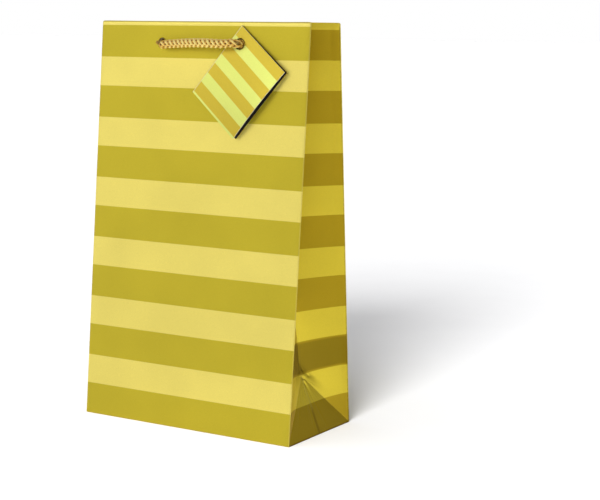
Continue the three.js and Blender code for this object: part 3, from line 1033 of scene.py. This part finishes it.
@dataclass
class Handle:
    """One rope handle: the run outside, its raised legs, the passages, the tails and their knots."""

    shape: BagShape
    finishes: Finishes
    braid: Braid
    back: bool = False
    standoff: float = 3.3
    bend: float = 3.2
    hem_in: float = 2.2
    tail_length: float = 92.0
    travel: float = 90.0
    gap: float = 0.3
    over_tag: float = 1.3

    @property
    def side(self) -> str:
        """The handle's word in names."""
        return "back" if self.back else "front"

    def at(self, points: Sequence[Sequence[float]]) -> np.ndarray:
        """Points given across, outward and up from the holes' height, in the bag's frame."""
        p = np.array(points, float)
        return self.shape.wall(p[:, 0], p[:, 1], self.shape.hole_v + p[:, 2], self.back)

    def run_route(self) -> np.ndarray:
        """The rope's way outside, from hole to hole."""
        hole, bend, out = self.shape.hole_x, self.bend, self.standoff
        end = [(hole, 0, 0), (hole, 0.2 * bend, 0), (hole - 0.134 * bend, 0.5 * bend, 0),
               (hole - 0.5 * bend, 0.866 * bend, 0), (hole - bend, bend, 0.1), (hole - 9, bend + 0.3, 0.4),
               (hole - 18, bend + 0.5, 0.7)]
        route = end + [(0, bend + 0.6, 0.8)] + [(-x, o, r) for x, o, r in end[::-1]]
        placed = []
        for x, o, r in route:
            pulled_in = 1.2 * float(smoothstep(np.array((-x - 14) / 12)))
            sag = 0.9 + 0.2 * float(smoothstep(np.array(-x / 20))) - 0.9 * float(smoothstep(np.array((x - 16) / 8)))
            placed.append((x + pulled_in, o + out - self.snug(x), r - sag))
        return self.at(placed)

    def snug(self, x: float) -> float:
        """How much closer to the paper the rope is drawn: most at the hole without the tag."""
        return 0.9 + 2.3 * float(smoothstep(np.array((8 - x) / 26)))

    def legs(self) -> bpy.types.Object:
        """Both legs, folded away inside the elbows until the handle is raised."""
        made = []
        depth = 2.0
        share = np.linspace(0, 1, 2001)
        raised = depth * share + self.travel * smoothstep(share)
        up = np.array([0.0, self.shape.sine * (-1 if self.back else 1), self.shape.cosine])
        for x in (-self.shape.hole_x, self.shape.hole_x):
            over_tag = 0.0 if self.back or x < 0 else self.over_tag
            foot = self.at([(x, self.standoff - 0.1 - 0.28 * self.snug(x) + over_tag, -depth / 2)])[0]
            route = foot + up * np.linspace(0, self.travel + depth, 12)[:, None]
            rope, _ = Braid(self.finishes, radius=2.2, strand=0.66, _tree=self.braid._tree).build(
                f"{self.side}_leg", route, sides=6, step=0.6)
            count = len(rope.data.vertices)
            flat = np.empty(count * 3)
            rope.data.vertices.foreach_get("co", flat)
            points = flat.reshape(-1, 3) / MM
            height = (points - foot) @ up
            folded = np.interp(height, raised, depth * share)
            points += up * (folded - height)[:, None]
            rope.data.vertices.foreach_set("co", (points * MM).ravel())
            made.append(rope)
        return joined(f"{self.side}_handle_legs", made)

    def make_run(self) -> None:
        """Builds the run and its legs."""
        route = self.run_route()
        span = float(np.linalg.norm(np.diff(route, axis=0), axis=1).sum())
        run, path = self.braid.build(f"{self.side}_handle_rope", route,
                                     girth=lambda s: 0.96 + 0.12 * np.sin(np.pi * np.clip(s / span, 0, 1)))
        legs = self.legs()
        wall, handle = f"{self.side}_wall", f"{self.side}_handle"
        start, up = self.at([(0, self.standoff, -1.0)])[0], np.array(
            [0.0, self.shape.sine * (-1 if self.back else 1), self.shape.cosine])
        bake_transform(legs, wall, handle, start=tuple(start * MM), end=tuple((start + up * 2.0) * MM))
        settle(run, handle, "handle_cord", f"{self.side}_handle_cord")

    def knot(self, name: str, centre: np.ndarray) -> bpy.types.Object:
        """An overhand knot, pulled tight, round a centre."""
        t = np.linspace(0.0, 2 * math.pi * 0.985, 60)
        loop = np.stack([(np.sin(t) + 2 * np.sin(2 * t)) * 1.22, -np.sin(3 * t) * 1.9,
                         (np.cos(t) - 2 * np.cos(2 * t)) * 1.05], -1)
        tight = Braid(self.finishes, radius=2.05, strand=0.6, wave=0.14, pitch=8.6, _tree=self.braid._tree)
        return tight.build(name, loop + centre, sides=6, step=0.5)[0]

    def make_inside(self, word: str, x: float) -> None:
        """Builds one passage through the wall, its hanging tail and its knot."""
        bend, out = self.bend, -self.hem_in
        inner = [(x, out, 0), (x, out - 0.5 * bend, -0.134 * bend), (x, out - 0.866 * bend, -0.5 * bend),
                 (x, out - bend, -0.9 * bend), (x, out - bend, -1.1 * bend)]
        route = self.at([(x, self.standoff + 0.3 - self.snug(x), 0.0), (x, 0.0, 0.0)] + inner)
        passage, _ = self.braid.build(
            f"{self.side}_rope_passage_{word}", route,
            girth=lambda s: np.sqrt(np.clip(1 - (1 - np.clip(s / 2.2, 0.04, 1)) ** 2, 0, 1)))
        top = self.at([(x, out - bend, -1.1 * bend)])[0] - np.array([0, 0, 2 * self.gap])
        line = top - np.array([0, 0, 1.0]) * np.linspace(0, self.tail_length, 14)[:, None]
        tail, path = self.braid.build(f"{self.side}_rope_tail_{word}", line)
        centre = top - np.array([0, 0, self.tail_length + self.gap + 5.0])
        knot = self.knot(f"{self.side}_rope_knot_{word}", centre)
        settle(passage, f"{self.side}_wall", "handle_cord", f"{self.side}_cord_passage_{word}")
        settle(knot, f"{self.side}_knots", "handle_cord", f"{self.side}_stopper_knot_{word}")
        settle(tail, f"{self.side}_wall", "handle_cord", f"{self.side}_cord_tail_{word}")
        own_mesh(tail)

    def make(self) -> None:
        """Builds the whole handle."""
        self.make_run()
        for word, sign in (("left", -1), ("right", 1)):
            self.make_inside(word, sign * self.shape.hole_x)


def joined(name: str, parts: Sequence[bpy.types.Object]) -> bpy.types.Object:
    """Joins meshes into one object with a new name."""
    work = bmesh.new()
    materials = list(parts[0].data.materials)
    for part in parts:
        work.from_mesh(part.data)
    mesh = bpy.data.meshes.new(name)
    work.to_mesh(mesh)
    work.free()
    for material in materials:
        mesh.materials.append(material)
    for part in parts:
        bpy.data.objects.remove(part)
    made = bpy.data.objects.new(name, mesh)
    bpy.context.scene.collection.objects.link(made)
    return made


# ---- Tag --------------------------------------------------------------------------------------


@dataclass
class Tag:
    """A folded card tag that hangs on the rope at the right hole."""

    shape: BagShape
    finishes: Finishes
    length: float = 48.0
    width: float = 39.0
    card: float = 0.35
    hole_from_end: float = 8.0
    hole_from_fold: float = 6.2
    hole_radius: float = 3.3
    opening: float = 4.0
    gap: float = 0.3

    def frame(self) -> tuple[np.ndarray, np.ndarray, np.ndarray, np.ndarray]:
        """The hole's centre, and the directions along the fold, across the leaf and outward."""
        middle_x = self.length / 2 - self.hole_from_end
        middle_y = self.width / 2 - self.hole_from_fold
        angle = -math.pi / 2 - math.atan2(middle_y, middle_x)
        right, outward = np.array([1.0, 0, 0]), np.array([0, -self.shape.cosine, self.shape.sine])
        up = np.array([0, self.shape.sine, self.shape.cosine])
        along = right * math.cos(angle) + up * math.sin(angle)
        origin = self.shape.wall(self.shape.hole_x, 0.0, self.shape.hole_v)
        return origin, along, np.cross(outward, along), outward

    def leaf(self, name: str, lift: float, degrees: float, cover: bool) -> bpy.types.Object:
        """One leaf of the card, with its hole.

        Args:
            name: The leaf's name.
            lift: How far its back face stands off the wall at the fold.
            degrees: How far it stands open.
            cover: Whether it is the cover, whose printed face is outside.

        Returns:
            The leaf's object.
        """
        origin, along, across, outward = self.frame()
        turn = math.radians(degrees)
        flat = across * math.cos(turn) + outward * math.sin(turn)
        proud = outward * math.cos(turn) - across * math.sin(turn)
        start = origin - across * self.hole_from_fold + outward * lift - along * self.hole_from_end
        a = np.linspace(0, self.length, 41)[:, None]
        b = np.concatenate([[0.0, 0.12, 0.3, 0.6], np.linspace(1.2, self.width, 30)])[None, :]
        swing = -1.3 + 1.8 * np.sin(np.pi * (0.07 + 0.78 * a / self.length))
        curl = (b / self.width) ** 1.5 * swing if cover else 0.0 * a * b
        near = np.clip(b / 0.5, 0, 1)
        round_off = self.card * 0.55 * (1 - np.sqrt(np.clip(1 - (1 - near) ** 2, 0, 1)))
        low = start + a[..., None] * along + b[..., None] * flat + curl[..., None] * proud
        high = low + proud * self.card
        if cover:
            high = high - proud * round_off[..., None]
        face, back = (high, low) if cover else (low, high)
        paper = np.stack(np.broadcast_arrays(b + 0 * a, a + 0 * b), -1)
        made = Shell(name, face, back, paper).build(self.finishes.tag, self.finishes.tag_inside,
                                                    self.finishes.back if cover else None)
        drill(made, (origin + outward * (lift + 0.4))[None, :], proud, self.hole_radius)
        smooth(made, 35)
        return made

    def make(self) -> None:
        """Builds both leaves."""
        back = self.leaf("tag_back_card", self.gap, 0.0, False)
        cover = self.leaf("tag_cover_card", 2 * self.gap + self.card, self.opening, True)
        settle(back, "tag", "tag_card", "tag_back_leaf")
        settle(cover, "tag_cover", "tag_card", "tag_cover_leaf")


# ---- Studio -----------------------------------------------------------------------------------


@dataclass
class Studio:
    """The pale floor, the soft lights and the camera."""

    lens: float = 90.65
    place: tuple[float, float, float] = (0.48528, -0.71062, 0.22063)
    fill_front: float = 0.58
    fill_behind: float = 0.06

    def camera(self) -> None:
        """Puts the camera at a person's eye, to the right of the front."""
        right, up, ahead = (Vector(v) for v in ((0.85459, 0.51915, 0.01284), (-0.08372, 0.11333, 0.99002),
                                                (-0.51252, 0.84713, -0.14031)))
        data = bpy.data.cameras.new("camera")
        data.lens, data.sensor_width, data.clip_end = self.lens, 36.0, 300.0
        made = bpy.data.objects.new("camera", data)
        turn = Matrix((right, up, -ahead)).transposed().to_4x4()
        made.matrix_world = Matrix.Translation(self.place) @ turn
        bpy.context.scene.collection.objects.link(made)
        bpy.context.scene.camera = made

    def sun(self, name: str, towards: tuple[float, float, float], softness: float, power: float,
            floor: bpy.types.Object, on_floor: bool) -> None:
        """A broad even light, for the floor alone or for everything but the floor.

        Args:
            name: The light's name.
            towards: The direction that it comes from.
            softness: Its width, in degrees.
            power: Its strength.
            floor: The floor.
            on_floor: Whether it lights the floor alone.
        """
        data = bpy.data.lights.new(name, "SUN")
        data.angle, data.energy = math.radians(softness), power
        made = bpy.data.objects.new(name, data)
        made.matrix_world = Vector(towards).to_track_quat("Z", "Y").to_matrix().to_4x4()
        bpy.context.scene.collection.objects.link(made)
        group = bpy.data.collections.new(f"{name}_receivers")
        group.objects.link(floor)
        made.light_linking.receiver_collection = group
        group.collection_objects[0].light_linking.link_state = "INCLUDE" if on_floor else "EXCLUDE"

    def panel(self, name: str, place: tuple[float, float, float], width: float, height: float,
              power: float) -> None:
        """A soft rectangular panel that faces the bag from a place."""
        data = bpy.data.lights.new(name, "AREA")
        data.shape, data.size, data.size_y, data.energy = "RECTANGLE", width, height, power
        made = bpy.data.objects.new(name, data)
        away = (Vector(place) - Vector((0, 0, 0.08))).normalized()
        made.matrix_world = Matrix.Translation(place) @ away.to_track_quat("Z", "Y").to_matrix().to_4x4()
        bpy.context.scene.collection.objects.link(made)

    def world(self) -> None:
        """A white backdrop that gives a weaker fill, stronger from the front left than from behind."""
        world = bpy.data.worlds.new("studio")
        bpy.context.scene.world = world
        world.use_nodes = True
        tree = world.node_tree
        tree.nodes.clear()
        way = add_node(tree, "ShaderNodeTexCoord").outputs["Generated"]
        front = add_node(tree, "ShaderNodeVectorMath", {0: way, 1: (-0.51, -0.86, 0.0)},
                         operation="DOT_PRODUCT")
        power = remap(tree, front.outputs["Value"], -0.9, 0.9, self.fill_behind, self.fill_front)
        fill = add_node(tree, "ShaderNodeBackground", {"Color": linear("fbfbff"), "Strength": power})
        seen = add_node(tree, "ShaderNodeBackground", {"Color": (1, 1, 1, 1), "Strength": 1.0})
        ray = add_node(tree, "ShaderNodeLightPath")
        mixed = add_node(tree, "ShaderNodeMixShader",
                         {0: ray.outputs["Is Camera Ray"], 1: fill.outputs[0], 2: seen.outputs[0]})
        add_node(tree, "ShaderNodeOutputWorld", {"Surface": mixed.outputs[0]})

    def floor(self) -> bpy.types.Object:
        """A wide white floor."""
        reach = 90000.0
        made = put_mesh("floor", np.array([[-reach, -reach, 0], [reach, -reach, 0], [reach, reach, 0],
                                           [-reach, reach, 0]]), [(0, 1, 2, 3)])
        material, tree, principled = new_material("matt_white_backdrop_paper", Roughness=0.95, IOR=1.4)
        spot = add_node(tree, "ShaderNodeTexCoord").outputs["Object"]
        tree.links.new(tint(tree, noise(tree, spot, 40.0), linear("f3f3f3"), linear("f6f6f6")),
                       principled.inputs["Base Color"])
        made.data.materials.append(material)
        return made

    def make(self) -> None:
        """Sets the floor, the lights and the colour handling."""
        floor = self.floor()
        self.world()
        self.sun("floor_light", (0.25, -0.96, 0.38), 28.0, 5.8, floor, True)
        self.sun("floor_fill", (-0.20, -0.50, 0.85), 80.0, 0.9, floor, True)
        self.panel("side_panel", (1.25, 0.30, 0.12), 0.7, 0.25, 1.7)
        self.sun("key", (-0.55, -0.75, 0.40), 30.0, 0.6, floor, False)
        self.sun("top_light", (0.0, 0.30, 0.95), 25.0, 0.7, floor, False)
        bpy.context.scene.view_settings.view_transform = "Standard"


def main() -> None:
    """Builds the bag piece by piece."""
    shape, finishes, studio = BagShape(), Finishes(), Studio()
    studio.camera()
    braid = Braid(finishes)
    for back in (False, True):
        Handle(shape, finishes, braid, back).make()
    for back in (False, True):
        Wall(shape, finishes, back).make()
    for right in (True, False):
        for back in (False, True):
            GussetQuarter(shape, finishes, right, back).make()
    Bottom(finishes).make()
    Tag(shape, finishes).make()
    studio.make()


if __name__ == "__main__":
    logging.basicConfig(level=logging.INFO, format="%(message)s")
    main()
